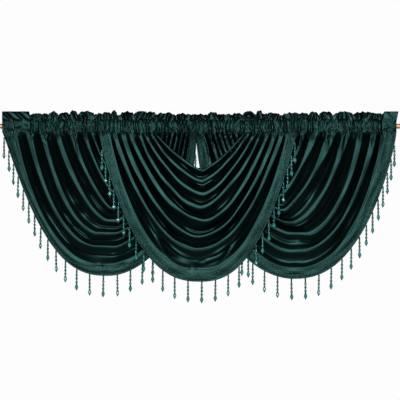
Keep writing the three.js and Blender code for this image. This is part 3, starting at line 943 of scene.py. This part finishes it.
def pocket(swag, sizes, side, fold, stitch):
    """The turned-over end of the cloth on one side, from just above the stitch up the front of the rod,
    over the heading's ruffles and down behind, by columns and rows, with the distance over the stitch.
    The front is a straight lean with a squared sine's bulge and the gathers' puffs on it. Up the heading
    the puffs turn into frills, and the back stands off the rod as a root of a sine."""
    seed = swag["seed"]
    x = (pocket_place(swag, side, fold) + crowding(swag, side, fold))[:, None]
    column = fold[:, None]
    free = tab_share(swag, sizes, column, side)
    loose = (free - sizes.tab_gather) / (1 - sizes.tab_gather)
    slant = HEADING_SLANT * uneven(x, pitch=0.16, seed=HEADING_SEED)
    lean = slant * loose + swag["tab_lean"] * (1 - loose)
    top, sway = ruffle_shape(x + lean)
    top = TAB_TOP + (top - TAB_TOP) * loose
    sway = sway * (TAB_SWAY + (1 - TAB_SWAY) * loose)

    t = np.linspace(0, 1, POCKET_ROWS + 1)[1:]
    arch = np.sin(np.pi * t)
    puffs = gathers(swag, sizes, column, x, t * (HEADING_STITCH + STITCH_DROP))
    puffs = puffs * (1 - POCKET_FLATTENING * arch)
    plain = stitch[:, 1:2] + gathers(swag, sizes, column, x, 0 * x)
    front_z = -STITCH_DROP + (HEADING_STITCH + STITCH_DROP) * t
    dimples = crumple(x, front_z, TAB_DIMPLE_PITCH, TAB_DIMPLE_PITCH, seed + 17)
    dimples = TAB_DIMPLE_DEPTH * (1 - loose) * dimples * arch
    front_y = plain + (-HEADING_FRONT - plain) * t - POCKET_PUFF * arch**2 - puffs + dimples
    front = (x + 0 * t, front_y, front_z + 0 * x)

    h = np.linspace(0, 1, HEADING_ROWS + 1)[1:]
    spread = LAYER_SPREAD * np.sqrt(1 - h**LAYER_CLOSING) + LAYER_GAP
    stand = HEADING_FRONT - LAYER_SPREAD
    fan = FRILL_FAN * uneven(x, pitch=0.22, seed=seed + 10) * h
    turns = (x + fan) / FRILL_PITCH + FRILL_STRAY * uneven(x, pitch=0.09, seed=seed + 12)
    size = varying(uneven(x, pitch=0.06, seed=seed + 15), mean=0.75, change=0.4, least=0.5, most=1.2)
    frill = FRILL_DEPTH * size * gather_wave(turns, FRILL_FULLNESS)
    tab_fold = swag["tab_folds"] * gather_wave((x + TAB_FOLD_SLANT * h) / TAB_FOLD_PITCH)
    risen = smooth(np.minimum(FRILL_RISE * h, 1))
    rest = puffs[:, -1:] * (1 - risen) + risen * (loose * frill + (1 - loose) * tab_fold)
    rest = rest - HEADING_LEAN * h + sizes.ruffle_depth * sway * h**2
    seam = POCKET_SEAM * np.exp(-((h / SEAM_REACH) ** 2))
    rise = HEADING_STITCH + (top - HEADING_STITCH) * h
    up = (x + lean * h, -stand - spread - rest + seam, rise)
    down = (x + lean * h, -stand + spread - rest + seam, rise)

    back_t = t[::-1]
    back_arch = np.sin(np.pi * back_t)
    back_puffs = gathers(swag, sizes, column, x + BACK_SHIFT, back_t * GATHER_LEAN_HEIGHT)
    sewn = stitch[:, 1:2] + BACK_STITCH_GAP
    back_y = sewn + (LAYER_SPREAD - stand - puffs[:, -1:] - sewn) * smooth(back_t)
    back_y = back_y + BACK_PUFF * np.maximum(back_arch, 0) ** BACK_ROUNDNESS
    back_y = back_y + BACK_GATHERS * back_puffs * back_arch
    back_z = -BACK_LAYER_END + (HEADING_STITCH + BACK_LAYER_END) * back_t
    behind = (x + 0 * back_t, back_y, back_z + 0 * x)
    end = (x, sewn + 0 * x, -BACK_LAYER_END + 0 * x)

    parts = [front, up, [part[:, ::-1] for part in down], behind, end]
    points = np.concatenate([np.stack(np.broadcast_arrays(*part), -1) for part in parts], 1)
    heading, crown = STITCH_LENGTHS["heading"], STITCH_LENGTHS["heading_top"]
    over = np.concatenate([
        t * heading, heading + (crown - heading) * h, 2 * crown - heading - (crown - heading) * h[::-1],
        2 * crown - heading * back_t, [2 * crown],
    ])
    return points, np.broadcast_to(over, points.shape[:2])


def swag_cloth(swag, sizes):
    """A whole swag as a grid of points, columns across the folds and rows from one end of the cloth to
    the other, with its two UV maps: over the weave, and from the seams."""
    fold = fold_numbers()
    share = 1 - (1 - np.linspace(0, 1, SKIRT_ROWS + 1)) ** ROW_CROWDING
    halves = {}
    for side in ("left", "right"):
        points, below = skirt(swag, sizes, side, fold, share)
        ends, over = pocket(swag, sizes, side, fold, points[:, -1])
        halves[side] = {
            "points": np.concatenate([points, ends], 1),
            "over": np.concatenate([-below, over], 1),
            "along": np.concatenate([below[:, :1] - below, below[:, :1] + over], 1),
        }
    left, right = halves["left"], halves["right"]
    joined = {
        key: np.concatenate([left[key][:, :0:-1], right[key]], 1) for key in ("points", "over")
    }
    along = np.concatenate([-left["along"][:, :0:-1], right["along"]], 1)
    across = np.broadcast_to(cloth_across(fold)[:, None], along.shape)
    return {
        "points": joined["points"],
        "weave": np.stack([across, along], -1),
        "seams": np.stack([across, joined["over"]], -1),
    }


def grid_faces(columns, rows, wrap=False):
    """Quads of a grid of points, wrapped around its rows where they close a ring."""
    index = np.arange(columns * rows).reshape(columns, rows)
    if wrap:
        index = np.concatenate([index, index[:, :1]], 1)
    return np.stack([index[:-1, :-1], index[1:, :-1], index[1:, 1:], index[:-1, 1:]], -1).reshape(-1, 4)


def make_mesh(name, points, faces, uv_maps=None, smooth_faces=True):
    """A mesh from whole arrays of points, quads and UV maps by point."""
    mesh = bpy.data.meshes.new(name)
    mesh.from_pydata(points.reshape(-1, 3), [], faces)
    corner = np.empty(len(mesh.loops), dtype=np.int32)
    mesh.loops.foreach_get("vertex_index", corner)
    for map_name, values in (uv_maps or {}).items():
        layer = mesh.uv_layers.new(name=map_name)
        layer.data.foreach_set("uv", values.reshape(-1, 2)[corner].astype(np.float32).ravel())
    shading = np.broadcast_to(np.asarray(smooth_faces, dtype=bool), (len(mesh.polygons),))
    mesh.polygons.foreach_set("use_smooth", np.ascontiguousarray(shading))
    mesh.update()
    return mesh


def turned_rows(rows):
    """How many of a cloth's rows are turned over at each of its ends."""
    return (rows - (2 * SKIRT_ROWS + 1)) // 2


def sharpen_grooves(mesh, rows):
    """Marks the edges along the bottom of each groove of a cloth as sharp, from stitch to stitch."""
    ends = np.empty(2 * len(mesh.edges), dtype=np.int32)
    mesh.edges.foreach_get("vertices", ends)
    column, row = np.divmod(ends.reshape(-1, 2), rows)
    grooves = LIP_COLUMNS + GROOVE_COLUMN + FOLD_STEPS * np.arange(HEM_ROLL)
    turned = turned_rows(rows)
    hanging = (row >= turned).all(1) & (row < rows - turned).all(1)
    sharp = hanging & (column[:, 0] == column[:, 1]) & np.isin(column[:, 0], grooves)
    mesh.edges.foreach_set("use_edge_sharp", sharp)


def place_piece(name, mesh, material):
    """A finished piece on the one body, in its material."""
    piece = bpy.data.objects.new(name, mesh)
    bpy.context.scene.collection.objects.link(piece)
    mesh.materials.append(material)
    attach(piece, "root")
    return piece


def unit(vectors):
    """Vectors of length 1."""
    return vectors / np.linalg.norm(vectors, axis=-1, keepdims=True)


def between_points(places, run, points):
    """Points at these distances along a line of points, straight from each to the next."""
    return np.stack([np.interp(places, run, points[:, k]) for k in range(3)], -1)


def hem_path(swag, cloth):
    """The hem's edge under both pockets at even steps: its points, the way into the cloth, the way back
    from it, and the distance along it."""
    turned = turned_rows(cloth["points"].shape[1])
    edge = cloth["points"][-1, turned:-turned]
    inner = cloth["points"][HEM_INNER_COLUMN, turned:-turned]
    run = np.concatenate([[0], np.cumsum(np.linalg.norm(np.diff(edge, axis=0), axis=1))])
    count = int((run[-1] - 2 * swag["tape_start"]) / TAPE_STEP)
    places = np.linspace(swag["tape_start"], run[-1] - swag["tape_start"], count + 1)
    point = between_points(places, run, edge)
    towards = unit(between_points(places, run, inner) - point)
    ahead = unit(np.gradient(point, axis=0))
    back = unit(np.cross(ahead, towards))
    back = back * np.sign(back[:, 1:2])
    return point, towards, back, places - places[0]


def tape_mesh(name, path, sizes):
    """The tape: a flat section with rounded corners carried along the hem's edge, closed at its ends."""
    point, towards, back, run = path
    across = TAPE_SECTION[:, :1] * sizes.tape_width
    rings = (
        point[:, None]
        + towards[:, None] * across
        + back[:, None] * (sizes.tape_gap + TAPE_SECTION[:, 1:] * sizes.tape_thickness)
    )
    count, sides = rings.shape[:2]
    ends = np.arange(sides)
    quads = grid_faces(count, sides, wrap=True)
    faces = quads.tolist() + [ends.tolist(), (ends[::-1] + (count - 1) * sides).tolist()]
    uv = np.stack(np.broadcast_arrays(across[:, 0], run[:, None]), -1)
    return make_mesh(name, rings, faces, {"weave": uv})


def seed_beads(top, bottom):
    """Rings of the small seed beads that fill a length of thread, wide and narrow by turns."""
    count = max(round((bottom - top) / SEED_HEIGHT), 1)
    edges = np.linspace(top, bottom, 2 * count + 1)[1:-1]
    return [(edge, (SEED_RADIUS, THREAD_RADIUS)[k % 2], 0) for k, edge in enumerate(edges)]


def oval_bead(centre):
    """Rings of an oval bead: a sine's arch, a little squared, over its height."""
    angle = np.linspace(0, np.pi, BEAD_RINGS + 2)
    radius = np.maximum(BEAD_RADIUS * np.sin(angle) ** BEAD_ROUNDNESS, THREAD_RADIUS)
    return list(zip(centre - BEAD_HALF_HEIGHT * np.cos(angle), radius, np.zeros_like(angle)))


def strand_outline():
    """A strand's section from root to tip: distance below the hem, radius, and 1 where flat facets end."""
    rows = [(-STRAND_ROOT, THREAD_RADIUS, 0)]
    top = 0.0
    for centre in BEAD_PLACES:
        rows += seed_beads(top, centre - BEAD_HALF_HEIGHT) + oval_bead(centre)
        top = centre + BEAD_HALF_HEIGHT
    rows += seed_beads(top, CAP_TOP)
    return np.array([*rows, *DROP_RINGS])


def strands_mesh(name, swag, path, sizes):
    """The strands of one fringe as one mesh: the outline turned about a line that hangs from each root,
    each strand turned and leaning a little of its own. Drops have flat facets."""
    point, towards, back, run = path
    first, last = swag["strands_from"], run[-1] - swag["strands_until"]
    step = sizes.strand_spacing * swag["strand_step"]
    anchor = first + (last - first) * swag["strand_anchor"]
    before = int((anchor - first) / step)
    after = int((last - anchor) / step)
    places = anchor + step * np.arange(-before, after + 1)
    count = len(places)
    seat = point - towards * STRAND_SEAT + back * (sizes.tape_gap + sizes.tape_thickness / 2)
    root = between_points(places, run, seat)
    rng = np.random.default_rng(swag["seed"])
    turn = rng.uniform(0, np.pi, count)
    sway = rng.uniform(-sizes.strand_sway, sizes.strand_sway, (count, 2))
    # How strongly each strand's painted glints show, carried in its UV map
    glint_strength = rng.uniform(*STRAND_GLINT_STRENGTHS, count)

    outline = strand_outline()
    below, radius, faceted = outline.T
    angle = turn[:, None] + 2 * np.pi * np.arange(STRAND_SIDES) / STRAND_SIDES
    ring = np.stack([np.cos(angle), np.sin(angle)], -1)
    flat = root[:, None, None, :2] + radius[:, None, None] * ring[:, None]
    flat = flat + (sway[:, None, :] * below[:, None])[:, :, None]
    height = np.broadcast_to(root[:, 2, None, None] - below[:, None], flat.shape[:3])
    points = np.concatenate([flat, height[..., None]], -1)

    rings = len(outline)
    quads = grid_faces(rings, STRAND_SIDES, wrap=True)[:, ::-1]
    cap = np.arange(STRAND_SIDES)
    offsets = rings * STRAND_SIDES * np.arange(count)
    all_quads = (quads + offsets[:, None, None]).reshape(-1, 4)
    tops = cap + offsets[:, None]
    tips = cap[::-1] + (rings - 1) * STRAND_SIDES + offsets[:, None]
    round_row = np.repeat(faceted[1:] == 0, STRAND_SIDES)
    shading = np.concatenate([np.tile(round_row, count), np.zeros(2 * count, dtype=bool)])
    uv = np.stack(np.broadcast_arrays(glint_strength[:, None, None], below[:, None] + np.zeros(STRAND_SIDES)), -1)
    faces = all_quads.tolist() + tops.tolist() + tips.tolist()
    return make_mesh(name, points, faces, {"strand": uv}, shading)


class VALANCES_OT_fit_rod(bpy.types.Operator):
    """Puts the copper-brown rod in place, with its edges eased at both ends"""

    bl_idname = "valances.fit_rod"
    bl_label = "Fit the rod"

    def execute(self, context):
        low, high = ROD_BOX
        # Circles carried along the axis, narrower by the ease at both ends
        ends = np.array([(low.x, ROD_EASE), (low.x + ROD_EASE, 0.0)])
        middle = np.linspace(low.x + ROD_RING_MARGIN, high.x - ROD_RING_MARGIN, ROD_RINGS)
        along = np.concatenate([ends[:, 0], middle, (low.x + high.x) - ends[::-1, 0]])
        radius = ROD_RADIUS - np.concatenate([ends[:, 1], np.zeros(ROD_RINGS), ends[::-1, 1]])
        angle = 2 * np.pi * np.arange(ROD_SIDES) / ROD_SIDES
        ring = np.stack([np.zeros(ROD_SIDES), np.cos(angle), np.sin(angle)], -1)
        rings = along[:, None, None] * np.array([1.0, 0, 0]) + radius[:, None, None] * ring
        quads = grid_faces(len(along), ROD_SIDES, wrap=True)[:, ::-1]
        cap = np.arange(ROD_SIDES)
        faces = quads.tolist() + [cap[::-1].tolist(), (cap + (len(along) - 1) * ROD_SIDES).tolist()]
        shading = np.ones(len(faces), dtype=bool)
        shading[-2:] = False
        mesh = make_mesh("rod_tube", rings, faces, smooth_faces=shading)
        piece = place_piece("rod_tube", mesh, rod_finish(context.scene.valance_colours))
        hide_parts("rod")
        return {"FINISHED"}


class VALANCES_OT_hang_swags(bpy.types.Operator):
    """Hangs the three satin swags on the rod, each one folded sheet with its pockets and headings"""

    bl_idname = "valances.hang_swags"
    bl_label = "Hang the swags"

    def execute(self, context):
        sizes = context.scene.valance_cloth
        material = satin_finish(context.scene.valance_colours)
        for swag in SWAGS:
            cloth = swag_cloth(swag, sizes)
            points = cloth["points"]
            faces = grid_faces(*points.shape[:2])
            uv_maps = {"weave": cloth["weave"], "seams": cloth["seams"]}
            mesh = make_mesh("satin_" + swag["name"], points, faces, uv_maps)
            sharpen_grooves(mesh, points.shape[1])
            piece = place_piece("satin_" + swag["name"], mesh, material)
            wall = piece.modifiers.new("thickness", "SOLIDIFY")
            wall.thickness = sizes.thickness
            wall.offset = 0
            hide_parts("swag_" + swag["name"])
        return {"FINISHED"}


class VALANCES_OT_sew_fringes(bpy.types.Operator):
    bl_idname = "valances.sew_fringes"
    bl_label = "Sew on the bead fringes"

    def execute(self, context):
        sizes = context.scene.valance_fringe
        colours = context.scene.valance_colours
        tape_material, bead_material = tape_finish(colours), bead_finish(colours)
        for swag in SWAGS:
            name = swag["name"]
            cloth = swag_cloth(swag, context.scene.valance_cloth)
            path = hem_path(swag, cloth)
            band = tape_mesh("tape_" + name, path, sizes)
            tape = place_piece("tape_" + name, band, tape_material)
            beads = strands_mesh("strands_" + name, swag, path, sizes)
            strands = place_piece("strands_" + name, beads, bead_material)
            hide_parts("bead_fringe_" + name)
            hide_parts("bead_fringe_" + name)
            across = cloth["weave"][..., 0]
            along = cloth["weave"][..., 1]
            width = float(across.max() - across.min())
            length = float(along.max() - along.min())
            lengths = along[:, -1] - along[:, 0]
            cut = float(np.sum(0.5 * (lengths[1:] + lengths[:-1]) * -np.diff(across[:, 0])))
            bpy.data.objects["satin_" + name]
        return {"FINISHED"}


def area_light(name, place, power, size):
    """A soft square light that looks at the stage's middle and that the camera doesn't see."""
    light = bpy.data.lights.new(name, "AREA")
    light.energy = power
    light.size = size
    lamp = bpy.data.objects.new(name, light)
    lamp.location = place
    lamp.rotation_euler = (STAGE_MIDDLE - Vector(place)).to_track_quat("-Z", "Y").to_euler()
    lamp.visible_camera = False
    bpy.context.scene.collection.objects.link(lamp)


class VALANCES_OT_light_stage(bpy.types.Operator):
    """Sets up the pale backdrop, the floor, the soft lights and the camera"""

    bl_idname = "valances.light_stage"
    bl_label = "Light the stage"

    def execute(self, context):
        scene = context.scene
        studio = scene.valance_studio
        scene.view_settings.view_transform = "Standard"

        camera = bpy.data.cameras.new("camera")
        camera.sensor_width = CAMERA_SENSOR
        camera.lens = CAMERA_SENSOR * (CAMERA_DISTANCE - OBJECT_FRONT) / VIEW_WIDTH
        eye = bpy.data.objects.new("camera", camera)
        eye.location = STAGE_MIDDLE - Vector((0, CAMERA_DISTANCE, 0))
        eye.rotation_euler = (np.pi / 2, 0, 0)
        scene.collection.objects.link(eye)
        scene.camera = eye

        area_light("key light", KEY_LIGHT_PLACE, studio.key_power, KEY_LIGHT_SIZE)
        area_light("back light", BACK_LIGHT_PLACE, studio.back_power, BACK_LIGHT_SIZE)

        world = Finish(bpy.data.worlds.new("studio"))
        scene.world = world.owner
        path = world.node("ShaderNodeLightPath")
        pale = (*[studio.backdrop] * 3, 1)
        seen = world.node("ShaderNodeBackground", {}, {"Color": pale, "Strength": 1.0})
        felt = world.node("ShaderNodeBackground", {}, {"Color": (1, 1, 1, 1), "Strength": SKY_STRENGTH})
        sky = world.node("ShaderNodeMixShader", {}, {0: path, 1: felt, 2: seen})
        world.node("ShaderNodeOutputWorld", {}, {"Surface": sky})

        angle = 2 * np.pi * np.arange(FLOOR_SIDES) / FLOOR_SIDES
        ring = np.stack([np.cos(angle), np.sin(angle), np.zeros(FLOOR_SIDES)], -1) * FLOOR_RADIUS
        place = np.array([0, 0, studio.floor_height])
        mesh = make_mesh("floor", ring + place, [list(range(FLOOR_SIDES))])
        paint = Finish.material("pale floor")
        path = paint.node("ShaderNodeLightPath")
        grey = paint.node("ShaderNodeBsdfDiffuse", {}, {"Color": FLOOR_GREY})
        glow = paint.node("ShaderNodeEmission", {}, {"Color": FLOOR_GLOW, "Strength": 1.0})
        seen = paint.node("ShaderNodeMixShader", {}, {0: path, 1: grey, 2: glow})
        paint.node("ShaderNodeOutputMaterial", {}, {"Surface": seen})
        floor = bpy.data.objects.new("floor", mesh)
        mesh.materials.append(paint.owner)
        scene.collection.objects.link(floor)
        return {"FINISHED"}


class VALANCES_PT_pieces(bpy.types.Panel):
    """Lists the steps that dress the valances"""

    bl_idname = "VALANCES_PT_pieces"
    bl_label = "Valances"
    bl_space_type = "VIEW_3D"
    bl_region_type = "UI"
    bl_category = "Valances"

    def draw(self, context):
        for operator in OPERATORS:
            self.layout.operator(operator.bl_idname)
        for name in SETTINGS:
            group = getattr(context.scene, name)
            for key in group.__annotations__:
                self.layout.prop(group, key)


OPERATORS = (
    VALANCES_OT_fit_rod,
    VALANCES_OT_hang_swags,
    VALANCES_OT_sew_fringes,
    VALANCES_OT_light_stage,
)
SETTINGS = {
    "valance_cloth": ClothSizes,
    "valance_fringe": FringeSizes,
    "valance_colours": ValanceColours,
    "valance_studio": StudioSettings,
}


def register():
    for group in (*SETTINGS.values(), *OPERATORS, VALANCES_PT_pieces):
        bpy.utils.register_class(group)
    for name, group in SETTINGS.items():
        setattr(bpy.types.Scene, name, bpy.props.PointerProperty(type=group))


def unregister():
    for name in SETTINGS:
        delattr(bpy.types.Scene, name)
    for group in (VALANCES_PT_pieces, *reversed(OPERATORS), *SETTINGS.values()):
        bpy.utils.unregister_class(group)


def main():
    register()
    bpy.ops.valances.fit_rod()
    bpy.ops.valances.hang_swags()
    bpy.ops.valances.sew_fringes()
    bpy.ops.valances.light_stage()


if __name__ == "__main__":
    main()
